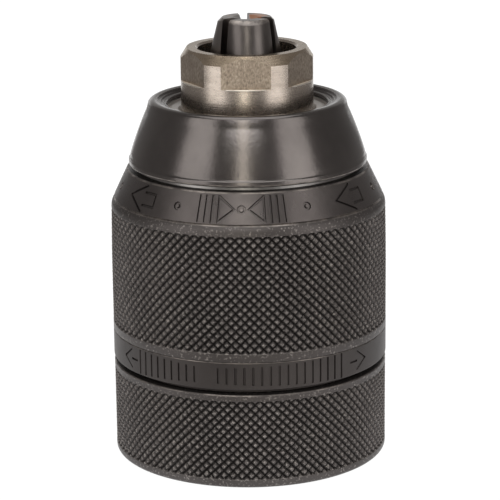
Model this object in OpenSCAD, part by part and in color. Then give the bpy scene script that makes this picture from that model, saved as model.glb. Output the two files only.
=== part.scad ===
/* [Sleeves] */
// Diameter over the knurled sleeves
sleeve_d = 43; // [42.6:0.1:44]
// Height of the fixed rear sleeve
rear_sleeve_h = 14.9; // [14.5:0.1:15]
// Top of the direction ring
ring_top_z = 20; // [19.6:0.1:20.4]
// Top of the knurled part of the clamping sleeve
knurl_top_z = 39.5; // [39:0.1:40]
// Top edge of the clamping sleeve's cone
sleeve_top_z = 45.6; // [45.5:0.05:45.7]

/* [Nose] */
// Diameter of the nose
nose_d = 20.44; // [20.3:0.02:20.6]
// Distance across the six milled flats
flats_af = 19; // [18.6:0.1:19.4]
// Lower end of the flats
flats_z = 59.2; // [58.5:0.1:60]
// Top face of the nose
nose_z = 64.2; // [64:0.1:64.6]
// Diameter of the hole up the middle of the nose
throat_d = 15.2; // [15:0.1:15.6]

/* [Spindle end] */
// Major diameter of the spindle thread, 1/2 inch
spindle_d = 12.7; // [12.7:0.1:14]
// Depth of the spindle thread
spindle_depth = 17; // [15:0.5:17]
// Diameter of the hole for the retaining screw
screw_hole_d = 6.6; // [5.5:0.1:7]

/* [Jaws] */
// Diameter of a jaw
jaw_d = 7.5; // [7.4:0.02:7.54]
// Angle between a jaw and the chuck's axis
jaw_tilt = 15; // [15:15]
// Top of the jaws as the chuck stands
jaw_tip_z = 68.7; // [68:0.1:69]
// Distance from the axis to each gripping edge
grip_r = 0.87; // [0.8:0.01:1.2]
// Pitch of the jaw teeth, along the jaw
thread_pitch = 1.8; // [1.8:1.8]
// Direction of the first jaw from the axis, in degrees
jaw_azimuth = -81; // [-81:-81]

/* [Bearing] */
// Number of balls in the thrust bearing
ball_count = 30; // [20:1:36]
// Diameter of each ball
ball_d = 2; // [2:2]
// Radius of the circle of ball centres
ball_circle_r = 16.6; // [16.5:0.05:16.7]

/* [Lock] */
// Number of teeth on the ratchet ring
ratchet_teeth = 48; // [48:48]

/* [Hidden] */
$fn = 96;

press_gap = 0.02;        // between parts that are pressed together
run_gap = 0.1;           // between parts that turn past each other
sleeve_r = sleeve_d / 2;
nose_r = nose_d / 2;
throat_r = throat_d / 2;
jaw_r = jaw_d / 2;

// Body, from the rear face upwards
flange_r = 19.9;
flange_h = 8;
barrel_r = 17.8;
shoulder_z = 29;
throat_floor_z = spindle_depth + 4;

// The three jaws' axes meet here, above the nose
apex_z = 70.25;
jaw_rear_t = 40.3;       // rear end of a jaw, measured back from the apex
jaw_bore_gap = 0.05;
jaw_bore_t = 62.5;       // blind end of a jaw's bore, just above the flange
tip_r = (apex_z - jaw_tip_z) * tan(jaw_tilt) + jaw_r / cos(jaw_tilt);
tip_chamfer_w = 0.5;
insert_w = 3;
insert_d = 2.3;
insert_z = 56;
lead_in_r = 2.1;
lead_in_h = 0.75;

// Jaw teeth and the thread that drives them
tooth_depth = 0.92;      // groove depth in the jaw
tooth_root_w = 0.45;     // groove width at its bottom
flank = 24;              // flank angle
tooth_first_t = 11.2;    // first groove, from the apex
tooth_last_t = 41.2;
tooth_arc_r = 11.4;      // radius of the groove bottoms across the jaw
thread_gap = 0.12;
thread_phase_t = 33.9;   // one thread crest at azimuth 0, from the apex
thread_top_t = 33.4;
thread_rear_t = 39.6;

// Thrust bearing, stacked on the body's shoulder
race_h = 0.9;
race_in_r = 15.2;
ball_z = shoulder_z + 1.65;
groove_r = ball_d / 2 + 0.05;
upper_race_z = shoulder_z + 2.4;
threaded_ring_z = upper_race_z + race_h;
threaded_ring_top = 39;
threaded_ring_r = 17.88;

// Rotating sleeve
liner_r = 19.6;
bush_out_r = 19.2;
barrel_run_r = barrel_r + run_gap;
carrier_z = 24;
lip_r = 20.9;

// Front cap
cap_z = 46.2;
cap_wall = 1.3;
collar_r = 12.9;

// Ratchet lock inside the cap
lock_z = 47.3;
lock_h = 2;
ratchet_root_r = 12.3;
ratchet_tip_r = 13.1;
pawl_pin_r = 0.55;
pawl_pivot_r = 14.75;
pawl_azimuth = 200;
pawl_arm = 5;

function jaw_dir(i) = jaw_azimuth + 120 * (i - 1);

// A point given across and along a jaw's axis, turned into radius and height
function cone_r(x, t) = x * cos(jaw_tilt) + t * sin(jaw_tilt);
function cone_z(x, t) = apex_z + x * sin(jaw_tilt) - t * cos(jaw_tilt);

module ring(out_r, in_r, z, h) {
    translate([0, 0, z]) difference() {
        cylinder(r = out_r, h = h);
        translate([0, 0, -1]) cylinder(r = in_r, h = h + 2);
    }
}

// Places children on a jaw's axis: +Z runs forwards, the origin is the apex
module on_jaw_axis(i) {
    rotate([0, 0, jaw_dir(i)]) translate([0, 0, apex_z]) rotate([0, -jaw_tilt, 0]) children();
}

/* Body: spindle thread, three slanted jaw bores, bearing shoulder and nose */

module body_profile() {
    polygon([
        [spindle_d / 2 + 0.6, 0], [12, 0], [12.5, 1], [18, 1], [18.5, 0], [flange_r - 0.4, 0],
        [flange_r, 0.4], [flange_r, flange_h], [barrel_r, flange_h], [barrel_r, shoulder_z],
        [nose_r, shoulder_z], [nose_r, nose_z - 1.5], [nose_r - 0.96, nose_z],
        [throat_r + 0.3, nose_z], [throat_r, nose_z - 0.3], [throat_r, throat_floor_z],
        [screw_hole_d / 2, throat_floor_z], [screw_hole_d / 2, spindle_depth],
        [spindle_d / 2, spindle_depth], [spindle_d / 2, 0.6]
    ]);
}

module nose_flats() {
    for (k = [0:5]) {
        rotate([0, 0, 60 * k - 91]) translate([flats_af / 2, -8, flats_z]) cube([4, 16, 8]);
    }
}

module with_jaw_bore(i) {
    difference() {
        children();
        on_jaw_axis(i) translate([0, 0, -jaw_bore_t]) {
            cylinder(r = jaw_r + jaw_bore_gap, h = jaw_bore_t - 5.5);
        }
    }
}

module chuck_body() {
    color([0.62, 0.58, 0.52]) with_jaw_bore(1) with_jaw_bore(2) with_jaw_bore(3) difference() {
        rotate_extrude() body_profile();
        nose_flats();
    }
}

/* Rear sleeve and front cap: the two covers that stay still */

module rear_sleeve() {
    color([0.27, 0.26, 0.24]) rotate_extrude() polygon([
        [flange_r + press_gap, 0], [sleeve_r - 0.8, 0], [sleeve_r - 0.2, 0.6],
        [sleeve_r - 0.05, 2], [sleeve_r - 0.05, rear_sleeve_h - 0.5],
        [sleeve_r - 0.4, rear_sleeve_h], [flange_r + press_gap, rear_sleeve_h]
    ]);
}

module front_cap() {
    color([0.16, 0.15, 0.15]) rotate_extrude() polygon([
        [18.35, cap_z], [18.5, cap_z + 0.3], [18.45, 47.1], [18.2, 47.7], [17.54, 49.6],
        [16.25, 52.7], [15.3, 55.1], [14.9, 55.8], [14.3, 56.15], [13.6, 56.2],
        [12.8, 56.0], [12.5, 55.6], [12.5, 55.1], [collar_r + press_gap, 55.0],
        [collar_r + press_gap, 53.4], [14.4, 53.4], [16.25 - cap_wall, 52.7],
        [17.54 - cap_wall, 49.6], [18.4 - cap_wall, 47.1], [18.4 - cap_wall, cap_z]
    ]);
}

module cap_retaining_ring() {
    color([0.75, 0.74, 0.72]) difference() {
        rotate_extrude() polygon([
            [nose_r + press_gap, 53.2], [collar_r, 53.2], [collar_r, 54.9], [12.3, 54.9],
            [12.2, 54.4], [11.8, 54.4], [11.7, 54.7], [nose_r + 0.5, 54.7],
            [nose_r + press_gap, 54.2]
        ]);
        for (k = [0:3]) {
            rotate([0, 0, 90 * k - 52]) translate([collar_r - 1.6, -0.8, 54.2]) cube([3, 1.6, 1]);
        }
    }
}

/* Thrust bearing between the body's shoulder and the threaded ring */

module race(z, groove_z) {
    color([0.7, 0.7, 0.72]) difference() {
        ring(barrel_r, race_in_r, z, race_h);
        translate([0, 0, groove_z]) rotate_extrude() {
            translate([ball_circle_r, 0]) circle(r = groove_r);
        }
    }
}

module lower_bearing_race() {
    race(shoulder_z, ball_z);
}

module upper_bearing_race() {
    race(upper_race_z, ball_z);
}

module ball_cage() {
    color([0.72, 0.6, 0.3]) difference() {
        ring(barrel_r - 0.1, race_in_r + 0.2, ball_z - 0.3, 0.6);
        for (k = [0:ball_count - 1]) {
            rotate([0, 0, 360 / ball_count * k]) translate([ball_circle_r, 0, ball_z - 1]) {
                cylinder(r = ball_d / 2 + 0.06, h = 2, $fn = 24);
            }
        }
    }
}

module bearing_balls() {
    color([0.85, 0.85, 0.86]) for (k = [0:ball_count - 1]) {
        rotate([0, 0, 360 / ball_count * k]) translate([ball_circle_r, 0, ball_z]) {
            sphere(r = ball_d / 2, $fn = 24);
        }
    }
}

/* Rotating sleeve: knurled shell, direction ring, bush and the carrier of the threaded ring */

module clamping_sleeve() {
    color([0.27, 0.26, 0.24]) rotate_extrude() polygon([
        [liner_r + press_gap, ring_top_z], [sleeve_r - 0.15, ring_top_z],
        [sleeve_r, ring_top_z + 0.15], [sleeve_r, 32], [sleeve_r - 0.15, knurl_top_z],
        [sleeve_r - 0.4, 40.6], [sleeve_r - 0.6, 41.1], [sleeve_r - 0.65, 41.35],
        [18.85, sleeve_top_z - 0.2], [18.6, sleeve_top_z], [17.4, sleeve_top_z],
        [liner_r + press_gap, 39.4]
    ]);
}

// An arrow that points along -X, centred on the origin
module arrow(length, height) {
    polygon([
        [-length / 2, 0], [-length / 2 + height / 2, height / 2],
        [-length / 2 + height / 2, height / 6], [length / 2, height / 6],
        [length / 2, -height / 6], [-length / 2 + height / 2, -height / 6],
        [-length / 2 + height / 2, -height / 2]
    ]);
}

module direction_ring() {
    arrow_z = (rear_sleeve_h + 0.8 + ring_top_z) / 2;
    color([0.27, 0.26, 0.24]) difference() {
        rotate_extrude() polygon([
            [bush_out_r + press_gap, rear_sleeve_h + run_gap], [lip_r, rear_sleeve_h + run_gap],
            [lip_r, rear_sleeve_h + 0.8], [sleeve_r - 0.2, rear_sleeve_h + 0.8],
            [sleeve_r, rear_sleeve_h + 1], [sleeve_r, ring_top_z - 0.2],
            [sleeve_r - 0.2, ring_top_z], [liner_r, ring_top_z],
            [liner_r, ring_top_z + 2.5], [bush_out_r + press_gap, ring_top_z + 2.5]
        ]);
        for (side = [0, 180], way = [-1, 1]) {
            rotate([0, 0, side - 90 + way * 56]) translate([sleeve_r - 0.3, 0, arrow_z]) {
                rotate([90, 0, 90]) linear_extrude(height = 2) {
                    scale([-way, 1]) arrow(length = 4.6, height = 2.8);
                }
            }
        }
    }
}

module guide_bush() {
    color([0.72, 0.6, 0.3]) ring(bush_out_r, barrel_run_r, ring_top_z - 1.3, 3.3);
}

module sleeve_carrier() {
    pin_at = [pawl_pivot_r * cos(pawl_azimuth), pawl_pivot_r * sin(pawl_azimuth)];
    color([0.5, 0.5, 0.52]) difference() {
        rotate_extrude() polygon([
            [barrel_run_r, carrier_z], [liner_r, carrier_z], [liner_r, 39.2], [17.3, 45.5],
            [17.2, 46], [16.4, 46], [16.4, 46.9], [13.4, 46.9], [13.4, 45.2], [15.4, 44.8],
            [16.6, 41], [14.6, 40.4], [14.6, threaded_ring_top + 0.1],
            [barrel_run_r, threaded_ring_top + 0.1]
        ]);
        translate([pin_at[0], pin_at[1], 44]) cylinder(r = pawl_pin_r + press_gap / 2, h = 4);
    }
}

// Height of the thread above its root line, at a distance u from the middle of a crest
function thread_height(u) =
    let (half_crest = tooth_root_w / 2 + thread_gap * tan(flank) - 0.14 / cos(flank))
    let (full = tooth_depth)
    min(full, max(0, full - (abs(u) - half_crest) / tan(flank)));

// Distance from the nearest crest, for a point at distance t from the apex and azimuth a
function crest_distance(t, a) =
    let (turns = (t - thread_phase_t) / thread_pitch + a / 360)
    (turns - round(turns)) * thread_pitch;

// Right-hand tapered thread: each column of points runs up the thread, then round the outside
module threaded_ring() {
    columns = 60;
    rows = 28;
    step_t = (thread_rear_t - thread_top_t) / (rows - 1);
    per_column = rows + 3;
    root_x = jaw_r + thread_gap;
    points = [
        for (c = [0:columns - 1]) let (a = 360 / columns * c) for (k = [0:per_column - 1])
            let (t = thread_rear_t - step_t * k, x = root_x - thread_height(crest_distance(t, a)))
            let (r = k < rows ? cone_r(x, t) : k == rows + 2 ? race_in_r : threaded_ring_r)
            let (z = k < rows ? cone_z(x, t) : k == rows ? threaded_ring_top : threaded_ring_z)
            [r * cos(a), r * sin(a), z]
    ];
    faces = [
        for (c = [0:columns - 1], k = [0:per_column - 1])
            let (c2 = (c + 1) % columns, k2 = (k + 1) % per_column)
            for (half = [0, 1])
                half == 0
                    ? [c * per_column + k, c2 * per_column + k2, c * per_column + k2]
                    : [c * per_column + k, c2 * per_column + k, c2 * per_column + k2]
    ];
    color([0.66, 0.64, 0.6]) polyhedron(points = points, faces = faces, convexity = 8);
}

/* Ratchet lock: a pawl on the carrier drops into a toothed ring on the nose */

// The pawl's nose, from its pivot, when the pawl is lifted clear
pawl_tip = [-2.48, -pawl_arm];
pawl_swing = 6;
engaged_tip = [
    pawl_pivot_r + pawl_tip[0] * cos(pawl_swing) + pawl_tip[1] * sin(pawl_swing),
    pawl_tip[1] * cos(pawl_swing) - pawl_tip[0] * sin(pawl_swing)
];
tooth_angle = 360 / ratchet_teeth;
ratchet_turn = pawl_azimuth + atan2(engaged_tip[1], engaged_tip[0]) - tooth_angle * 0.37;

module ratchet_ring() {
    color([0.6, 0.6, 0.62]) translate([0, 0, lock_z]) difference() {
        rotate([0, 0, ratchet_turn]) linear_extrude(height = lock_h) polygon([
            for (k = [0:ratchet_teeth - 1], corner = [[0, ratchet_tip_r], [0.16, ratchet_root_r],
                                                      [0.32, ratchet_root_r]])
                let (a = tooth_angle * (k + corner[0])) corner[1] * [cos(a), sin(a)]
        ]);
        translate([0, 0, -1]) cylinder(r = nose_r + press_gap, h = lock_h + 2);
    }
}

module lock_pawl() {
    inward = -[pawl_pivot_r + pawl_tip[0], pawl_tip[1]] / norm([pawl_pivot_r + pawl_tip[0], pawl_tip[1]]);
    along = [-inward[1], inward[0]];
    color([0.55, 0.54, 0.5]) rotate([0, 0, pawl_azimuth]) translate([pawl_pivot_r, 0, lock_z - 0.3]) {
        linear_extrude(height = 2) difference() {
            union() {
                circle(r = 1.1, $fn = 32);
                polygon([
                    [-0.8, -0.5], pawl_tip - 0.6 * inward - 0.5 * along, pawl_tip - 0.15 * along,
                    pawl_tip + 0.15 * along, pawl_tip - 0.6 * inward + 0.5 * along,
                    pawl_tip - 1.6 * inward + 0.6 * along, [0.8, -0.5]
                ]);
            }
            circle(r = pawl_pin_r + 0.05, $fn = 32);
        }
    }
}

module pawl_pin() {
    color([0.7, 0.7, 0.72]) rotate([0, 0, pawl_azimuth]) translate([pawl_pivot_r, 0, 45.3]) {
        cylinder(r = pawl_pin_r, h = 4.6, $fn = 32);
    }
}

module pawl_spring() {
    color([0.75, 0.75, 0.77]) rotate([0, 0, pawl_azimuth]) translate([pawl_pivot_r, 0, 0]) {
        for (z = [49.25, 49.65]) {
            translate([0, 0, z]) rotate_extrude($fn = 32) translate([0.8, 0]) circle(r = 0.19, $fn = 16);
        }
        translate([0.8, 0, 49.65]) rotate([-90, 0, 0]) cylinder(r = 0.19, h = 2.2, $fn = 16);
    }
}

/* Jaws: slanted rods with a gripping wedge at the front and drive teeth down the outside */

// Everything further from the axis than the jaw's two gripping faces
module grip_wedge(z0, z1) {
    translate([0, 0, z0]) linear_extrude(height = z1 - z0) {
        polygon([[grip_r, 0], [grip_r + 20, 20 * tan(60)], [grip_r + 20, -20 * tan(60)]]);
    }
}

module insert_block(extra) {
    translate([0, -insert_w / 2, insert_z]) {
        cube([grip_r + insert_d, insert_w, jaw_tip_z - insert_z + extra]);
    }
}

// Breaks the outer edge of all three jaw tips at 45 degrees
module tip_chamfer() {
    rotate_extrude() polygon([
        [tip_r - tip_chamfer_w, jaw_tip_z], [tip_r + 1, jaw_tip_z - tip_chamfer_w - 1],
        [tip_r + 1, jaw_tip_z + 1], [tip_r - tip_chamfer_w, jaw_tip_z + 1]
    ]);
}

// The shallow mouth that leads a shank in between the three tips
module lead_in() {
    translate([0, 0, jaw_tip_z - lead_in_h]) cylinder(r1 = 0, r2 = lead_in_r, h = lead_in_h);
    translate([0, 0, jaw_tip_z - 0.001]) cylinder(r = lead_in_r, h = 1);
}

// One comb of grooves, turned about a line behind the jaw so that each bends like the thread
module tooth_comb(i) {
    phase = (thread_phase_t - thread_pitch * jaw_dir(i) / 360 - tooth_first_t) % thread_pitch;
    count = floor((tooth_last_t - tooth_first_t) / thread_pitch);
    translate([jaw_r - tooth_depth - tooth_arc_r, 0, 0]) rotate_extrude() {
        for (k = [0:count]) {
            translate([tooth_arc_r, -(tooth_first_t + phase + k * thread_pitch)]) polygon([
                [0, -tooth_root_w / 2], [0, tooth_root_w / 2],
                [tooth_depth + 0.1, tooth_root_w / 2 + (tooth_depth + 0.1) * tan(flank)],
                [tooth_depth + 0.1, -tooth_root_w / 2 - (tooth_depth + 0.1) * tan(flank)]
            ]);
        }
    }
}

module jaw(i) {
    color([0.33, 0.31, 0.29]) difference() {
        intersection() {
            on_jaw_axis(i) translate([0, 0, -jaw_rear_t]) {
                cylinder(r1 = jaw_r - 0.7, r2 = jaw_r, h = 0.7);
                translate([0, 0, 0.7]) cylinder(r = jaw_r, h = jaw_rear_t + 3);
            }
            rotate([0, 0, jaw_dir(i)]) grip_wedge(20, jaw_tip_z);
        }
        on_jaw_axis(i) tooth_comb(i);
        rotate([0, 0, jaw_dir(i)]) insert_block(1);
        tip_chamfer();
        lead_in();
    }
}

module jaw_insert(i) {
    color([0.45, 0.44, 0.44]) rotate([0, 0, jaw_dir(i)]) difference() {
        intersection() {
            insert_block(0);
            grip_wedge(insert_z - 1, jaw_tip_z + 1);
        }
        lead_in();
    }
}

module jaw_1() { jaw(1); }
module jaw_2() { jaw(2); }
module jaw_3() { jaw(3); }
module jaw_insert_1() { jaw_insert(1); }
module jaw_insert_2() { jaw_insert(2); }
module jaw_insert_3() { jaw_insert(3); }

chuck_body();
rear_sleeve();
front_cap();
cap_retaining_ring();
lower_bearing_race();
ratchet_ring();
clamping_sleeve();
direction_ring();
guide_bush();
sleeve_carrier();
threaded_ring();
upper_bearing_race();
pawl_pin();
pawl_spring();
ball_cage();
bearing_balls();
lock_pawl();
jaw_1();
jaw_2();
jaw_3();
jaw_insert_1();
jaw_insert_2();
jaw_insert_3();
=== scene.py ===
"""A keyless drill chuck, standing on its rear face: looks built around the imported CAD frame."""
import math

import bmesh
import bpy
from mathutils import Matrix, Vector


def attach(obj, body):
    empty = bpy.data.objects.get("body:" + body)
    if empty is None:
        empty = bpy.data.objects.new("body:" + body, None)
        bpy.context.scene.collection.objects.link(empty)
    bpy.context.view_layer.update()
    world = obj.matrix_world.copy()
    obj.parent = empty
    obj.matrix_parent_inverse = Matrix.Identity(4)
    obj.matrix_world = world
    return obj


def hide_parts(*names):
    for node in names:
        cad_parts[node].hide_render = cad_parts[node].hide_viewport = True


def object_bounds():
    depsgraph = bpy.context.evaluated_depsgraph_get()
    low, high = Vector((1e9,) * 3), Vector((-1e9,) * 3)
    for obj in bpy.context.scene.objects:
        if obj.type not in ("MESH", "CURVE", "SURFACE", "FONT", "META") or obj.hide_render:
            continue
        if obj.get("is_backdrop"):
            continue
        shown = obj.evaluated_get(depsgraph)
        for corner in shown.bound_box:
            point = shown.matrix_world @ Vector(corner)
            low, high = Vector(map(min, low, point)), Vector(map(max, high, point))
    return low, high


MM = 0.001
TAU = 2 * math.pi

# ---------------------------------------------------------------- driving sizes
# Lengths are in millimetres
SLEEVE_R = 21.5
LATHE_SEGMENTS = 288
MARKED_SEGMENTS = 480       # a finer lathe, for the walls that marks are cut into

CELLS = 96                  # knurl diamonds around a sleeve
CELL_STEPS = 6              # mesh columns in one diamond
CELL_H = 1.4                # height of one diamond
GROOVE_DEPTH = 0.34
GROOVE_STEPS = 2.1          # half the width of a groove, in mesh steps
CROSSING = 0.68             # share of two crossing grooves' depths that they reach together

REAR_TOP = 14.9
REAR_BORE_R = 19.93
REAR_KNURL = (1.3, 9)       # height where the rear sleeve's knurl starts, and its rows of diamonds
GRIP_KNURL = (21.25, 13)    # the same for the clamping sleeve
GRIP_TAPER_Z = 30.0         # above this the clamping sleeve narrows a little
RING_LOW = 15.7
RING_TOP = 20.0
RING_BORE_R = 19.25
SHOULDER_Z = 41.2
BAND_LOW = (20.86, SHOULDER_Z)    # radius and height where the marked cone starts
BAND_TOP = (18.87, 45.36)         # and where it ends
BAND_BORE_R = 18.9
SLEEVE_TOP = 45.6
LINER_R = 19.62
CAP_Z = 46.2
CAP_BORE_R = 17.1

FLATS_AF = 19.0
FLATS_Z = 59.2
FIRST_FLAT = -91            # direction that the front flat faces, in degrees
COLLAR_R = 10.22            # the ledges under the flats end here
BEAD_R = 0.11               # of the rolled edge along each ledge
CHAMFER_R = 8.0             # the nose's chamfer lies outside this radius
FACE_TOLERANCE = 0.05       # how near a height a face has to be to count as lying at it

SPINDLE_R = 6.35
SPINDLE_PITCH = 1.27        # 20 threads to the inch
SPINDLE_DEPTH = 17.0
RIDGE_START = 1.2           # height where the thread's ridge starts
RIDGE_H = 0.65
RIDGE_ROOT = 0.52           # half the ridge's width at the wall
RIDGE_CREST = 0.1           # and at its top
RIDGE_SINK = 0.02           # how far the ridge's foot is sunk into the wall

STROKE_W = 0.32             # width of an engraved line
STROKE_D = 0.24             # and its depth
RING_STROKE_D = 0.22        # its depth in the direction ring
WEDGE_HALF = 1.95           # half the height of the wedges and of the ticks beside them
TICK_PITCH = 1.33
TICK_HALF = 1.8             # half the height of a scale's tallest tick
TIP_WEAR_LOW = 68.0         # height at which the jaw tips start to be worn bright
TIP_WEAR_HIGH = 68.5

# Azimuths of the marks, in degrees from the front, positive to the right
WEDGES_AT = (-3, 102, -108)
ARROWS_AT = (-55, 49, 154, -160)
DOTS_AT = (-32, 26, 73, 131, 177, -137, -79)
LEFT_SCALE = (-23, 9)       # where a scale's shortest tick stands, and how many ticks it has
RIGHT_SCALE = (-13, 16)
LEFT_ARROW_AT = -60
RIGHT_ARROW_AT = 52

FLOOR_HALF_W = 140.0
FLOOR_FRONT = -34.0
FLOOR_BACK = 490.0
TABLE_R = 190.0             # small enough to leave the low part of the lights in view of the nose
BACKDROP_Y = 900.0
BACKDROP_W = 970.0
WHITE_H = 208.0             # height of the white part of the backdrop
GREY_H = 830.0              # and of the grey part above it

# The camera stands in front of the chuck, a little above it
CAMERA_BACK = 350.0
CAMERA_UP = 125.8
CAMERA_SIDE = 0.17
CAMERA_TILT = 15.04         # down from level, in degrees
CAMERA_ROLL = -0.63         # in degrees
CAMERA_LENS = 166.1
CAMERA_SENSOR = 36.0


# ---------------------------------------------------------------- mesh helpers
def new_object(name, verts, faces):
    """A mesh object from points in millimetres."""
    mesh = bpy.data.meshes.new(name)
    mesh.from_pydata([tuple(c * MM for c in v) for v in verts], [], faces)
    obj = bpy.data.objects.new(name, mesh)
    bpy.context.scene.collection.objects.link(obj)
    return obj


def smooth(obj, angle):
    """Smooth shading, with edges sharper than angle, in degrees, kept crisp."""
    obj.data.shade_smooth()
    obj.data.set_sharp_from_angle(angle=math.radians(angle))
    return obj


def face_outwards(obj):
    """Turns every face's normal to the outside of its closed mesh."""
    bm = bmesh.new()
    bm.from_mesh(obj.data)
    bmesh.ops.recalc_face_normals(bm, faces=bm.faces)
    bm.to_mesh(obj.data)
    bm.free()
    return obj


def arc(centre, radius, start, end, steps):
    """Points on an arc in the radius-height plane, angles in degrees."""
    angles = [math.radians(start + (end - start) * k / steps) for k in range(steps + 1)]
    return [(centre[0] + radius * math.cos(a), centre[1] + radius * math.sin(a)) for a in angles]


def lathe(name, outline, segments=LATHE_SEGMENTS, cut=None):
    """Turns a closed outline of (radius, height) points about Z.

    cut(column, k) says how deep point k of a column is sunk. The depths are kept in the mesh, as the
    attribute groove, which is 1 at the bottom of a knurl groove.
    """
    count = len(outline)
    sunk = [[cut(s, k) if cut else 0.0 for k in range(count)] for s in range(segments)]
    verts = []
    for s in range(segments):
        a = TAU * s / segments
        for k, (r, z) in enumerate(outline):
            verts.append(((r - sunk[s][k]) * math.cos(a), (r - sunk[s][k]) * math.sin(a), z))
    faces = []
    for s in range(segments):
        t = (s + 1) % segments
        for k in range(count):
            m = (k + 1) % count
            corners = (s * count + k, t * count + k, t * count + m, s * count + m)
            rising, falling = sunk[s][k] + sunk[t][m], sunk[t][k] + sunk[s][m]
            if rising == falling:
                faces.append(corners)
            elif rising > falling:
                faces.append((corners[0], corners[1], corners[2]))
                faces.append((corners[0], corners[2], corners[3]))
            else:
                faces.append((corners[0], corners[1], corners[3]))
                faces.append((corners[1], corners[2], corners[3]))
    piece = face_outwards(new_object(name, verts, faces))
    if cut:
        depths = piece.data.attributes.new("groove", "FLOAT", "POINT")
        shares = [depth / GROOVE_DEPTH for column in sunk for depth in column]
        depths.data.foreach_set("value", shares)
    return piece


# ---------------------------------------------------------------- knurled sleeves
def groove(steps_away):
    """Depth of a V groove at a number of mesh steps from its bottom."""
    away = abs((steps_away + CELL_STEPS / 2) % CELL_STEPS - CELL_STEPS / 2)
    return GROOVE_DEPTH * max(0.0, 1 - away / GROOVE_STEPS)


def knurled(name, below, knurl, above, radius):
    """A lathe piece with knurled diamonds between two smooth stretches of outline.

    knurl is the height where the diamonds start, and how many rows there are.
    """
    low, rows = knurl
    step = CELL_H / CELL_STEPS
    heights = [low + step * k for k in range(rows * CELL_STEPS + 1)]
    first, last = len(below), len(below) + len(heights) - 1

    def cut(column, k):
        if k <= first or k >= last:
            return 0.0
        row = k - first
        left, right = groove(column + row), groove(column - row)
        return max(left, right, CROSSING * (left + right))
    outline = below + [(radius(z), z) for z in heights] + above
    return smooth(lathe(name, outline, CELLS * CELL_STEPS, cut), 16)


def make_rear_sleeve():
    """The short knurled sleeve at the rear, a little slimmer than the clamping sleeve."""
    r = SLEEVE_R - 0.05
    below = [(REAR_BORE_R, 0.0), (r - 0.75, 0.0)] + arc((r - 0.75, 0.75), 0.75, -80, 0, 7)
    below += [(r, 1.0)]
    above = [(r, 14.2), (r - 0.03, 14.45)] + arc((r - 0.25, 14.65), 0.25, 10, 90, 5)
    above += [(REAR_BORE_R, REAR_TOP)]
    return knurled("rear_sleeve_skin", below, REAR_KNURL, above, lambda z: r)


def grip_radius(z):
    """The clamping sleeve's radius, which falls by 0.13 towards the top of its knurl."""
    return SLEEVE_R - 0.13 * max(0.0, (z - GRIP_TAPER_Z) / 9.5) ** 1.5


def make_grip():
    """The knurled part of the clamping sleeve, up to the edge where its cone starts."""
    below = [(LINER_R, RING_TOP)] + arc((SLEEVE_R - 0.15, RING_TOP + 0.15), 0.15, -90, 0, 3)
    below += [(SLEEVE_R, 20.8)]
    above = [(21.36, 39.7)] + arc((19.66, 39.75), 1.68, 4, 50, 9)
    above += [BAND_LOW, (BAND_BORE_R, SHOULDER_Z), (LINER_R, 39.4)]
    return knurled("sleeve_grip", below, GRIP_KNURL, above, grip_radius)


# ---------------------------------------------------------------- engraved marks
class Surface:
    """A cone or cylinder wall that marks are cut into: u runs round it and v up it, in millimetres."""

    def __init__(self, low, high):
        self.low, self.high = low, high
        self.length = math.dist(low, high)
        self.slope = ((high[0] - low[0]) / self.length, (high[1] - low[1]) / self.length)
        self.mid_r = (low[0] + high[0]) / 2

    def rows(self, count):
        """Outline points between the wall's two ends, so that marks are cut into small faces."""
        return [(self.low[0] + self.slope[0] * self.length * k / count,
                 self.low[1] + self.slope[1] * self.length * k / count) for k in range(count + 1)]

    def point(self, azimuth, u, v, out):
        """A 3D point; azimuth is in degrees from the front, positive to the right."""
        a = math.radians(azimuth - 90) + u / self.mid_r
        r = self.low[0] + self.slope[0] * v + self.slope[1] * out
        z = self.low[1] + self.slope[1] * v - self.slope[0] * out
        return (r * math.cos(a), r * math.sin(a), z)


def stroke(surface, azimuth, start, end, depth):
    """Corners of a cutter along one engraved line, narrower at its bottom."""
    du, dv = end[0] - start[0], end[1] - start[1]
    length = math.hypot(du, dv)
    along = (du / length * STROKE_W / 2, dv / length * STROKE_W / 2)
    across = (-along[1], along[0])
    corners = []
    for out, spread in ((-depth, 0.5), (0.4, 2.0)):
        for (u, v), way in ((start, -1), (end, 1)):
            for side in (-way, way):
                corners.append(surface.point(
                    azimuth, u + way * along[0] + side * across[0] * spread,
                    v + way * along[1] + side * across[1] * spread, out))
    return corners


CUTTER_FACES = [(0, 1, 2, 3), (4, 5, 6, 7), (0, 1, 5, 4), (1, 2, 6, 5), (2, 3, 7, 6), (3, 0, 4, 7)]


def engrave(piece, surface, marks, depth):
    """Cuts marks, a list of (azimuth, lines), where a line is a list of (u, v) points.

    The first stroke of every mark is cut at once, then the second, so that no two cutters meet.
    """
    strokes = [[(azimuth, start, end) for line in lines for start, end in zip(line, line[1:])]
               for azimuth, lines in marks]
    for turn in range(max(len(mark) for mark in strokes)):
        verts, faces = [], []
        for mark in strokes:
            if turn < len(mark):
                faces += [tuple(len(verts) + c for c in face) for face in CUTTER_FACES]
                verts += stroke(surface, *mark[turn], depth)
        cutter = face_outwards(new_object("cutter", verts, faces))
        modifier = piece.modifiers.new("cut", "BOOLEAN")
        modifier.object = cutter
        modifier.solver = "MANIFOLD"
        bpy.context.view_layer.objects.active = piece
        bpy.ops.object.modifier_apply(modifier="cut")
        bpy.data.objects.remove(cutter)


def ring_line(v, radius, sides=10):
    """A small closed ring, at height v, as straight lines."""
    angles = [TAU * k / sides for k in range(sides + 1)]
    return [(radius * math.cos(a), v + radius * math.sin(a)) for a in angles]


def outline_arrow(v):
    """An outlined arrow head that points left, with a short open tail."""
    return [
        [(1.0, v + 2.0), (-2.7, v), (1.0, v - 2.0)],
        [(1.0, v + 1.0), (3.4, v + 1.0), (3.4, v - 1.0), (1.0, v - 1.0)],
    ]


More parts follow.
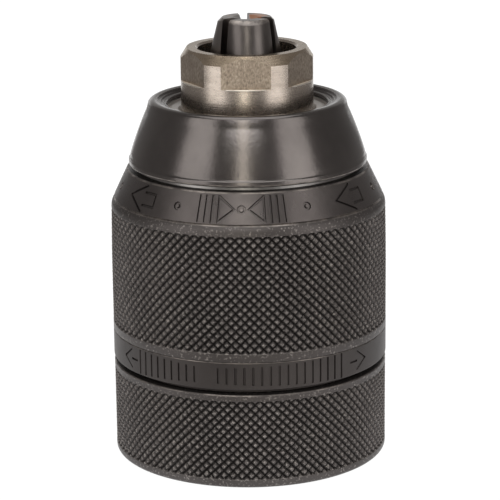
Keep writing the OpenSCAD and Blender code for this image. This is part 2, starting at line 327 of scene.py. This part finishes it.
def closing_jaws(v):
    """Two outlined wedges that meet at a small ring, and ticks beside them: the jaws closing."""
    low, high = v - WEDGE_HALF, v + WEDGE_HALF
    lines = [ring_line(v, 0.5)]
    for side in (-1, 1):
        lines.append([(side * 1.1, v), (side * 3.4, high), (side * 3.4, low), (side * 1.1, v)])
        for u in (4.4, 5.4, 6.4):
            lines.append([(side * u, high), (side * u, low)])
    return lines


def make_band():
    """The cone above the knurling, with the marks that show which way it tightens."""
    surface = Surface(BAND_LOW, BAND_TOP)
    outline = [(BAND_BORE_R, SHOULDER_Z)] + surface.rows(16)
    outline += [(18.8, 45.5), (18.62, SLEEVE_TOP), (17.4, SLEEVE_TOP)]
    band = lathe("sleeve_band", outline, MARKED_SEGMENTS)
    middle = surface.length * 0.49
    marks = [(azimuth, closing_jaws(middle)) for azimuth in WEDGES_AT]
    marks += [(azimuth, outline_arrow(middle)) for azimuth in ARROWS_AT]
    marks += [(azimuth, [ring_line(middle, 0.45)]) for azimuth in DOTS_AT]
    engrave(band, surface, marks, STROKE_D)
    return smooth(band, 24)


def wedge_scale(count, v, way):
    """Upright ticks that grow one way round the ring: how far the jaws open or close."""
    lines = []
    for k in range(count):
        half = TICK_HALF * (0.55 + 0.45 * (k + 1) / count)
        lines.append([(way * TICK_PITCH * k, v - half), (way * TICK_PITCH * k, v + half)])
    return lines


def open_arrow(way, v):
    """A chevron and a short dash that point one way round the ring."""
    return [
        [(way * -0.9, v + 1.4), (way * 1.1, v), (way * -0.9, v - 1.4)],
        [(way * -1.1, v), (way * -2.4, v)],
    ]


def make_direction_ring():
    """The ring under the knurling, with two scales and two arrows, and the same again behind."""
    low, high = RING_LOW, RING_TOP
    surface = Surface((SLEEVE_R, low + 0.25), (SLEEVE_R, high - 0.2))
    outline = [(RING_BORE_R, 15.0), (20.1, 15.0), (20.1, low), (21.25, low)]
    outline += arc((SLEEVE_R - 0.2, low + 0.2), 0.2, -70, -10, 3) + surface.rows(14)
    outline += arc((SLEEVE_R - 0.15, high - 0.15), 0.15, 10, 90, 3) + [(RING_BORE_R, high)]
    band = lathe("direction_ring_skin", outline, MARKED_SEGMENTS)
    middle = surface.length / 2
    marks = []
    for turn in (0, 180):
        for (azimuth, count), way in ((LEFT_SCALE, -1), (RIGHT_SCALE, 1)):
            marks.append((turn + azimuth, wedge_scale(count, middle, way)))
        for azimuth, way in ((LEFT_ARROW_AT, -1), (RIGHT_ARROW_AT, 1)):
            marks.append((turn + azimuth, open_arrow(way, middle)))
    engrave(band, surface, marks, RING_STROKE_D)
    return smooth(band, 24)


# ---------------------------------------------------------------- front cap
def make_cap():
    """The smooth cap: a bulged cone with a rolled front edge and a stepped mouth."""
    outline = [(CAP_BORE_R, CAP_Z), (18.2, CAP_Z)] + arc((18.2, CAP_Z + 0.3), 0.3, -70, 5, 5)
    outline += [(18.47, 47.0), (18.33, 47.12), (18.24, 47.3), (18.2, 47.7)]
    outline += arc((-38.0, 30.55), 58.77, 17.2, 24.35, 14)
    outline += arc((14.45, 55.2), 1.0, 28, 100, 9)
    outline += [(13.85, 56.12), (13.75, 55.86), (13.35, 55.84), (13.25, 55.6), (12.95, 55.58)]
    outline += arc((12.75, 55.3), 0.3, 60, 180, 4)
    outline += [(12.45, 55.0), (12.93, 54.9), (12.93, 53.4), (14.4, 53.4), (14.95, 52.7)]
    outline += [(16.24, 49.6), (CAP_BORE_R, 47.1)]
    return smooth(lathe("front_cap_skin", outline), 24)


# ---------------------------------------------------------------- spindle thread
def make_spindle_thread():
    """The ridge of the right-hand female thread, on the smooth wall of the spindle bore."""
    steps, fade_steps = 64, 24
    turns = (SPINDLE_DEPTH - 2.0) / SPINDLE_PITCH
    count = int(turns * steps)
    verts, faces = [], []
    for k in range(count + 1):
        a = TAU * k / steps
        z = RIDGE_START + SPINDLE_PITCH * k / steps
        fade = min(1.0, k / fade_steps, (count - k) / fade_steps)
        outer, inner = SPINDLE_R + RIDGE_SINK, SPINDLE_R - RIDGE_SINK - RIDGE_H * fade
        profile = [(outer, -RIDGE_ROOT), (inner, -RIDGE_CREST),
                   (inner, RIDGE_CREST), (outer, RIDGE_ROOT)]
        for r, dz in profile:
            verts.append((r * math.cos(a), r * math.sin(a), z + dz))
    for k in range(count):
        for j in range(4):
            m = (j + 1) % 4
            faces.append((4 * k + j, 4 * k + m, 4 * k + 4 + m, 4 * k + 4 + j))
    faces += [(0, 1, 2, 3), (4 * count, 4 * count + 1, 4 * count + 2, 4 * count + 3)]
    return smooth(face_outwards(new_object("spindle_thread_ridge", verts, faces)), 30)


# ---------------------------------------------------------------- rolled edges under the nose flats
def make_flat_edges():
    """The fine rolled-over edge that the cutter left along the ledge under each flat."""
    sides, steps = 8, 16
    inset, sunk = 0.07, 0.05
    reach = math.acos(FLATS_AF / 2 / COLLAR_R) - 0.03
    verts, faces = [], []
    for flat in range(6):
        start = len(verts)
        for k in range(steps + 1):
            a = math.radians(FIRST_FLAT + 60 * flat) + reach * (2 * k / steps - 1)
            size = BEAD_R * min(1.0, 0.3 + k / 3, 0.3 + (steps - k) / 3)
            for j in range(sides):
                b = TAU * j / sides
                r, z = COLLAR_R - inset + size * math.cos(b), FLATS_Z - sunk + size * math.sin(b)
                verts.append((r * math.cos(a), r * math.sin(a), z))
        for k in range(steps):
            for j in range(sides):
                m = (j + 1) % sides
                low, high = start + sides * k, start + sides * (k + 1)
                faces.append((low + j, low + m, high + m, high + j))
        faces.append(tuple(range(start, start + sides)))
        faces.append(tuple(range(start + sides * steps, start + sides * (steps + 1))))
    return smooth(face_outwards(new_object("nose_flat_edges", verts, faces)), 60)


# ---------------------------------------------------------------- materials
class Nodes:
    """A short way to write a node material."""

    def __init__(self, name):
        self.material = bpy.data.materials.new(name)
        self.material.use_nodes = True
        self.tree = self.material.node_tree
        self.shader = self.tree.nodes["Principled BSDF"]

    def add(self, kind, **values):
        """A new node; a value sets the input of that name, or else the node's own property."""
        node = self.tree.nodes.new(kind)
        for key, value in values.items():
            if key in node.inputs:
                node.inputs[key].default_value = value
            else:
                setattr(node, key, value)
        return node

    def link(self, source, target):
        self.tree.links.new(source, target)

    def position(self, scale):
        """Object coordinates, stretched by scale along each axis."""
        coordinates = self.add("ShaderNodeTexCoord")
        mapping = self.add("ShaderNodeMapping", Scale=scale)
        self.link(coordinates.outputs["Object"], mapping.inputs["Vector"])
        return mapping.outputs["Vector"]

    def noise(self, scale, stretch=(1, 1, 1), detail=4.0):
        """Cloudy noise from 0 to 1; scale is in cells to the metre."""
        node = self.add("ShaderNodeTexNoise", Scale=scale, Detail=detail, Roughness=0.6)
        self.link(self.position(stretch), node.inputs["Vector"])
        return node.outputs["Fac"]

    def ramp(self, source, stops):
        """Maps a 0 to 1 value through (place, colour) stops."""
        node = self.add("ShaderNodeValToRGB")
        while len(node.color_ramp.elements) < len(stops):
            node.color_ramp.elements.new(0.5)
        for element, (place, colour) in zip(node.color_ramp.elements, stops):
            element.position = place
            element.color = (*colour, 1)
        self.link(source, node.inputs["Fac"])
        return node.outputs["Color"]

    def feed(self, socket, value):
        """Gives a socket another node's output, a colour or a number."""
        if isinstance(value, bpy.types.NodeSocket):
            self.link(value, socket)
        elif isinstance(value, tuple):
            socket.default_value = (*value, 1)
        else:
            socket.default_value = value

    def mix(self, factor, a, b, blend="MIX"):
        """Blends colour a into colour b; each of the three may be an output or a fixed value."""
        node = self.add("ShaderNodeMix", data_type="RGBA", blend_type=blend)
        for name, value in (("Factor", factor), ("A", a), ("B", b)):
            self.feed(node.inputs[name], value)
        return node.outputs["Result"]

    def spread(self, source, low, high):
        """Maps 0 to 1 onto low to high."""
        node = self.add("ShaderNodeMapRange")
        self.link(source, node.inputs["Value"])
        node.inputs["To Min"].default_value = low
        node.inputs["To Max"].default_value = high
        return node.outputs["Result"]

    def bump(self, source, strength, distance, below=None):
        """A normal that follows source as a relief, on top of the normal below."""
        node = self.add("ShaderNodeBump", Strength=strength, Distance=distance)
        self.link(source, node.inputs["Height"])
        if below:
            self.link(below, node.inputs["Normal"])
        return node.outputs["Normal"]

    def height(self, low, high):
        """0 at one height to 1 at another, in metres."""
        split = self.add("ShaderNodeSeparateXYZ")
        self.link(self.position((1, 1, 1)), split.inputs["Vector"])
        node = self.add("ShaderNodeMapRange")
        self.link(split.outputs["Z"], node.inputs["Value"])
        node.inputs["From Min"].default_value = low
        node.inputs["From Max"].default_value = high
        return node.outputs["Result"]

    def finish(self, **inputs):
        """Sets the shader's inputs, where Base_Color stands for Base Color, and gives the material."""
        for key, value in inputs.items():
            self.feed(self.shader.inputs[key.replace("_", " ")], value)
        return self.material


def smooth_oxide(name, shade, rough_low, rough_high):
    """Blackened steel, cloudy and slightly brown."""
    m = Nodes(name)
    dark = [c * shade for c in (0.078, 0.0696, 0.067)]
    light = [c * shade for c in (0.128, 0.115, 0.1108)]
    base = m.ramp(m.noise(55, detail=5), [(0.3, dark), (0.7, light)])
    rough = m.spread(m.noise(240, detail=6), rough_low, rough_high)
    normal = m.bump(m.noise(3600, detail=3), 0.5, 0.00004)
    return m.finish(Base_Color=base, Metallic=0.9, Roughness=rough, Normal=normal)


def knurled_oxide(name):
    """Blackened knurling: painted shade darkens the grooves, rubbed lighter round the diamonds, with
    flecks.
    """
    m = Nodes(name)
    base = m.ramp(m.noise(55, detail=5), [(0.3, (0.07, 0.063, 0.0607)), (0.7, (0.105, 0.095, 0.092))])
    groove_depth = m.add("ShaderNodeAttribute", attribute_name="groove").outputs["Fac"]
    worn = m.ramp(groove_depth, [(0.02, (0, 0, 0)), (0.14, (1, 1, 1)), (0.3, (0, 0, 0))])
    patches = m.ramp(m.noise(2600), [(0.4, (0.15,) * 3), (0.66, (1, 1, 1))])
    rubbed = m.mix(m.mix(1.0, worn, patches, "MULTIPLY"), base, (0.42, 0.385, 0.36))
    flecks = m.ramp(m.noise(2900, detail=2), [(0.58, (0, 0, 0)), (0.7, (1, 1, 1))])
    rubbed = m.mix(flecks, rubbed, (0.3, 0.277, 0.26))
    # painted shade: the deeper a point lies in a knurl groove, the darker its colour is painted
    painted_groove_shade = m.ramp(groove_depth, [(0.3, (1, 1, 1)), (0.7, (0.7,) * 3), (1.0, (0.3,) * 3)])
    colour = m.mix(1.0, rubbed, painted_groove_shade, "MULTIPLY")
    return m.finish(Base_Color=colour, Metallic=0.9, Roughness=m.spread(m.noise(260), 0.38, 0.52),
                    Normal=m.bump(m.noise(5200, detail=2), 0.45, 0.00004))


def worn_rim_with_painted_highlight(name):
    """The edge of a blackened piece where handling has worn it to brown, patchily; the lighter brown also
    stands in as a painted highlight line along the edge.
    """
    m = Nodes(name)
    wear_and_highlight = m.ramp(m.noise(520, detail=5), [(0.4, (0, 0, 0)), (0.66, (1, 1, 1))])
    # painted highlight: the rim's lighter brown is partly real wear and partly a highlight line painted
    # into the colour
    colour = m.mix(wear_and_highlight, (0.1, 0.09, 0.085), (0.27, 0.243, 0.222))
    normal = m.bump(m.noise(2600, detail=3), 0.4, 0.00004)
    return m.finish(Base_Color=colour, Metallic=0.9, Roughness=m.spread(wear_and_highlight, 0.5, 0.3), Normal=normal)


def polished_black(name):
    """Turned and polished black steel, with rings left by the tool and a fine speckle."""
    m = Nodes(name)
    base = m.ramp(m.noise(70, detail=5), [(0.3, (0.105, 0.096, 0.093)), (0.7, (0.168, 0.154, 0.147))])
    rings = m.noise(60, stretch=(1, 1, 160), detail=3)
    speckle = m.noise(1700, detail=4)
    normal = m.bump(speckle, 0.5, 0.00003, m.bump(rings, 0.16, 0.00003))
    rough = m.spread(m.noise(150), 0.16, 0.26)
    return m.finish(Base_Color=base, Metallic=1.0, Roughness=rough, Normal=normal)


def turned_steel(name, dark, light, rough_low, rough_high, warm=(0.5, 0.42, 0.33)):
    """Bare machined steel: rings round the axis, faint stains and a light grain."""
    m = Nodes(name)
    base = m.ramp(m.noise(130, stretch=(1, 1, 3), detail=6), [(0.3, dark), (0.7, light)])
    stain = m.ramp(m.noise(210, detail=3), [(0.52, (0, 0, 0)), (0.8, (0.45,) * 3)])
    colour = m.mix(stain, base, warm)
    rings = m.noise(40, stretch=(1, 1, 240), detail=4)
    grain = m.noise(1300, stretch=(1, 1, 1.6), detail=4)
    normal = m.bump(grain, 0.13, 0.00003, m.bump(rings, 0.5, 0.00003))
    rough = m.spread(grain, rough_low, rough_high)
    return m.finish(Base_Color=colour, Metallic=1.0, Roughness=rough, Normal=normal)


def milled_steel(name):
    """The nose flats: duller than turned steel, with fine upright cutter marks."""
    m = Nodes(name)
    base = m.ramp(m.noise(300, detail=5), [(0.3, (0.40, 0.335, 0.272)), (0.7, (0.62, 0.53, 0.435))])
    marks = m.noise(4200, stretch=(1, 1, 0.5), detail=3)
    base = m.mix(m.spread(marks, -0.7, 1.7), base, (0.2, 0.163, 0.13))
    normal = m.bump(marks, 0.9, 0.00006)
    rough = m.spread(marks, 0.3, 0.44)
    return m.finish(Base_Color=base, Metallic=1.0, Roughness=rough, Normal=normal)


def jaw_steel(name):
    """Hardened, ground jaw steel, dark, with lengthways light streaks."""
    m = Nodes(name)
    base = m.ramp(m.noise(90, stretch=(1, 1, 0.25), detail=5),
                  [(0.35, (0.1, 0.09, 0.086)), (0.65, (0.28, 0.255, 0.238))])
    tip = m.height(TIP_WEAR_LOW * MM, TIP_WEAR_HIGH * MM)
    patches = m.ramp(m.noise(700, detail=5), [(0.35, (0, 0, 0)), (0.6, (0.85,) * 3)])
    colour = m.mix(m.mix(1.0, tip, patches, "MULTIPLY"), base, (0.4, 0.36, 0.325))
    normal = m.bump(m.noise(1800, stretch=(1, 1, 0.3), detail=3), 0.3, 0.00004)
    rough = m.spread(m.noise(400), 0.25, 0.4)
    return m.finish(Base_Color=colour, Metallic=1.0, Roughness=rough, Normal=normal)


def carbide(name, clear, stained):
    """Ground hard metal; copper from the brazing covers it where the noise passes clear to stained."""
    m = Nodes(name)
    copper = m.ramp(m.noise(420, detail=4), [(clear, (0, 0, 0)), (stained, (1, 1, 1))])
    colour = m.mix(copper, (0.3, 0.285, 0.275), (0.6, 0.3, 0.18))
    normal = m.bump(m.noise(2400, detail=3), 0.25, 0.00003)
    rough = m.spread(m.noise(900), 0.26, 0.42)
    return m.finish(Base_Color=colour, Metallic=1.0, Roughness=rough, Normal=normal)


def plain_metal(name, dark, light, low=0.25, high=0.4):
    """Bare metal with a faint grain, its roughness between low and high."""
    m = Nodes(name)
    colour = m.ramp(m.noise(300, detail=4), [(0.3, dark), (0.7, light)])
    normal = m.bump(m.noise(1500, stretch=(1, 1, 4), detail=3), 0.25, 0.00004)
    rough = m.spread(m.noise(500), low, high)
    return m.finish(Base_Color=colour, Metallic=1.0, Roughness=rough, Normal=normal)


def glow(name, colour, strength):
    """Paper that gives off its own light."""
    m = Nodes(name)
    return m.finish(Base_Color=(0, 0, 0), Emission_Color=colour, Emission_Strength=strength)


def matte(name, colour):
    """A dull paint."""
    return Nodes(name).finish(Base_Color=colour, Roughness=0.9)


def dress(obj, material):
    """Makes material the only one on obj."""
    obj.data.materials.clear()
    obj.data.materials.append(material)
    return obj


def finish_rims(obj, material, heights):
    """Gives the faces between each pair of heights a second material."""
    obj.data.materials.append(material)
    for face in obj.data.polygons:
        if any(low * MM <= face.center.z <= high * MM for low, high in heights):
            face.material_index = 1
    return obj


def finish_nose(body, turned, flats, chamfer, ledge):
    """Turned steel all over the body, with the milled flats, their ledges and the chamfer apart."""
    dress(body, turned)
    for material in (flats, chamfer, ledge):
        body.data.materials.append(material)
    flat_index, chamfer_index, ledge_index = 1, 2, 3
    for face in body.data.polygons:
        if face.center.z < (FLATS_Z - FACE_TOLERANCE) * MM:
            continue
        across = Vector((face.normal.x, face.normal.y, 0)).dot(face.center)
        if abs(face.normal.z) < 0.02 and abs(across - FLATS_AF / 2 * MM) < 0.03 * MM:
            face.material_index = flat_index
        elif face.normal.z > 0.98 and face.center.z < (FLATS_Z + FACE_TOLERANCE) * MM:
            face.material_index = ledge_index
        elif face.normal.z > 0.2 and face.center.xy.length > CHAMFER_R * MM:
            face.material_index = chamfer_index


# ---------------------------------------------------------------- studio
def card(name, width, height, centre, material):
    """An upright card that faces the camera."""
    w, h = width / 2, height / 2
    obj = new_object(name, [(-w, 0, -h), (w, 0, -h), (w, 0, h), (-w, 0, h)], [(0, 1, 2, 3)])
    obj.matrix_world = Matrix.Translation([c * MM for c in centre])
    dress(obj, material)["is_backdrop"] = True


def softbox(name, azimuth, distance, width, low, high, strength, colour=(1, 1, 1)):
    """A tall area light that stands at an azimuth from the front and faces the chuck."""
    light = bpy.data.lights.new(name, "AREA")
    light.shape = "RECTANGLE"
    light.size = width * MM
    light.size_y = (high - low) * MM
    light.color = colour
    light.energy = strength * math.pi * light.size * light.size_y
    obj = bpy.data.objects.new(name, light)
    bpy.context.scene.collection.objects.link(obj)
    a = math.radians(azimuth - 90)
    obj.location = (distance * math.cos(a) * MM, distance * math.sin(a) * MM, (low + high) / 2 * MM)
    obj.rotation_euler = (math.radians(90), 0, math.radians(azimuth))
    return obj


def overhead_box(name, place, size, tilt, strength):
    """An area light above the chuck, tilted from straight down towards the back."""
    obj = softbox(name, azimuth=0, distance=0, width=size[0], low=0, high=size[1], strength=strength)
    obj.location = [c * MM for c in place]
    obj.rotation_euler = (math.radians(tilt), 0, 0)
    return obj


def build_backdrops(white):
    """A pale round table with a white floor strip on it, and paper behind, white below and grey above."""
    w, front, back, z = FLOOR_HALF_W, FLOOR_FRONT, FLOOR_BACK, -0.05
    corners = [(-w, front, z), (w, front, z), (w, back, z), (-w, back, z)]
    floor = new_object("floor", corners, [(0, 1, 2, 3)])
    dress(floor, white)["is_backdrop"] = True
    sides, z = 96, -0.4
    angles = [TAU * k / sides for k in range(sides)]
    edge = [(TABLE_R * math.cos(a), TABLE_R * math.sin(a), z) for a in angles]
    table = new_object("table", edge, [tuple(range(sides))])
    dress(table, matte("pale table", (0.8, 0.785, 0.77)))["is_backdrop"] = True
    card("backdrop", BACKDROP_W, WHITE_H, (0, BACKDROP_Y, WHITE_H / 2), white)
    card("upper_backdrop", BACKDROP_W, GREY_H, (0, BACKDROP_Y, WHITE_H + GREY_H / 2),
         glow("grey paper", (1, 0.97, 0.94), 0.4))


def build_studio():
    """The backdrops, three tall lights round the front, two above, and a dim warm world."""
    build_backdrops(glow("paper", (1, 1, 1), 1.0))
    softbox("left_box", azimuth=-54, distance=520, width=320, low=-330, high=520,
            strength=1.5, colour=(1.0, 0.975, 0.955))
    softbox("centre_strip", azimuth=-5, distance=620, width=110, low=-420, high=900,
            strength=2.65, colour=(1.0, 0.955, 0.85))
    softbox("right_box", azimuth=51, distance=520, width=320, low=-330, high=520,
            strength=1.5, colour=(1.0, 0.97, 0.95))
    overhead_box("front_box", place=(-30, -330, 330), size=(240, 110), tilt=45, strength=2.7)
    overhead_box("top_box", place=(0, -40, 420), size=(420, 300), tilt=0, strength=1.5)
    world = bpy.data.worlds.new("studio")
    world.use_nodes = True
    world.node_tree.nodes["Background"].inputs["Color"].default_value = (0.24, 0.228, 0.222, 1)
    bpy.context.scene.world = world
    bpy.context.scene.view_settings.view_transform = "Standard"


def build_camera():
    """A long lens, looking slightly down at the chuck."""
    data = bpy.data.cameras.new("camera")
    data.lens = CAMERA_LENS
    data.sensor_width = CAMERA_SENSOR
    camera = bpy.data.objects.new("camera", data)
    bpy.context.scene.collection.objects.link(camera)
    turn = Matrix.Rotation(math.radians(90 - CAMERA_TILT), 4, "X") @ Matrix.Rotation(
        math.radians(CAMERA_ROLL), 4, "Z")
    camera.matrix_world = Matrix.Translation(
        (CAMERA_SIDE * MM, -CAMERA_BACK * MM, CAMERA_UP * MM)) @ turn
    bpy.context.scene.camera = camera


def save_bounds(when, sizes):
    low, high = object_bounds()
    sizes[when] = [list(low), list(high)]


# ---------------------------------------------------------------- the scene
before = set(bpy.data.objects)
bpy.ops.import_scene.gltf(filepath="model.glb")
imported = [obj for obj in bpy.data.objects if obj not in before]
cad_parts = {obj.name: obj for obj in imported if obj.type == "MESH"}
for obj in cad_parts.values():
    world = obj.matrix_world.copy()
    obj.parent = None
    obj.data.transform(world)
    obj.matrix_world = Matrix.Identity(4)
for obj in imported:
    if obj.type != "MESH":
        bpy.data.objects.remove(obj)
sizes = {}
save_bounds("cad", sizes)
build_camera()
build_studio()

knurl_black = knurled_oxide("knurled black oxide")
smooth_black = smooth_oxide("smooth black oxide", 0.94, 0.14, 0.5)
ring_black = smooth_oxide("matte black oxide", 0.66, 0.4, 0.56)
cap_black = polished_black("polished black oxide")
nose_steel = turned_steel("ground nose steel", (0.35, 0.305, 0.262), (0.53, 0.47, 0.415),
                          0.17, 0.36)
milled = milled_steel("milled nose flats")
straw_steel = turned_steel("straw-coloured chamfer", (0.31, 0.25, 0.182), (0.46, 0.38, 0.295),
                           0.2, 0.36)
edge_steel = plain_metal("rolled edge", (0.75, 0.69, 0.61), (0.95, 0.9, 0.83), 0.22, 0.4)
cut_edge = Nodes("fresh-cut ledge").finish(
    Base_Color=(0.8, 0.72, 0.62), Metallic=0.35, Roughness=0.4)
worn_rim_and_highlight_metal = worn_rim_with_painted_highlight("worn rim with painted highlight")
bright_steel = turned_steel("bright turned steel", (0.56, 0.54, 0.52), (0.78, 0.755, 0.73),
                            0.26, 0.42, (0.4, 0.36, 0.32))
oiled_steel = plain_metal("oiled steel", (0.2, 0.195, 0.19), (0.34, 0.33, 0.32))
bearing = plain_metal("bearing steel", (0.5, 0.5, 0.51), (0.66, 0.66, 0.67), 0.12, 0.22)
brass = plain_metal("cage brass", (0.5, 0.34, 0.12), (0.64, 0.46, 0.2))
dark_jaw = jaw_steel("jaw steel")
hard_metal = carbide("carbide", 0.6, 0.8)
brazed_metal = carbide("carbide under copper", 0.3, 0.48)

# How each skin is made, its finish, the body it rides on, the CAD node it stands for, its slot, and the
# heights between which its edges are worn brown and lightened with a painted highlight line
NEW_PIECES = [
    (make_rear_sleeve, knurl_black, "body", "rear_sleeve", "black_oxide", [(14.66, 14.89)]),
    (make_grip, knurl_black, "sleeve", "clamping_sleeve", "black_oxide", [(40.8, 41.19)]),
    (make_band, smooth_black, "sleeve", "clamping_sleeve", "black_oxide", [(45.38, 45.6)]),
    (make_direction_ring, ring_black, "sleeve", "direction_ring", "black_oxide", [(19.85, 19.99)]),
    (make_cap, cap_black, "body", "front_cap", "black_gloss", [(46.3, 46.6)]),
]
for make, material, body, node, slot, rims in NEW_PIECES:
    piece = finish_rims(dress(make(), material), worn_rim_and_highlight_metal, rims)
    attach(piece, body)
    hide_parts(node)

for piece, material in ((make_spindle_thread(), nose_steel), (make_flat_edges(), edge_steel)):
    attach(dress(piece, material), "body")

finish_nose(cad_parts["chuck_body"], nose_steel, milled, straw_steel, cut_edge)

# The finish of each CAD piece that is drawn as it is
NODE_MATERIALS = {
    "cap_retaining_ring": bright_steel, "lower_bearing_race": bearing,
    "upper_bearing_race": bearing, "ratchet_ring": oiled_steel, "guide_bush": brass,
    "sleeve_carrier": oiled_steel, "threaded_ring": oiled_steel, "pawl_pin": bearing,
    "pawl_spring": bearing, "ball_cage": brass, "bearing_balls": bearing, "lock_pawl": oiled_steel,
}
for number in (1, 2, 3):
    NODE_MATERIALS[f"jaw_{number}"] = dark_jaw
    NODE_MATERIALS[f"jaw_insert_{number}"] = brazed_metal if number == 2 else hard_metal
for node, material in NODE_MATERIALS.items():
    dress(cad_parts[node], material)

save_bounds("visual", sizes)
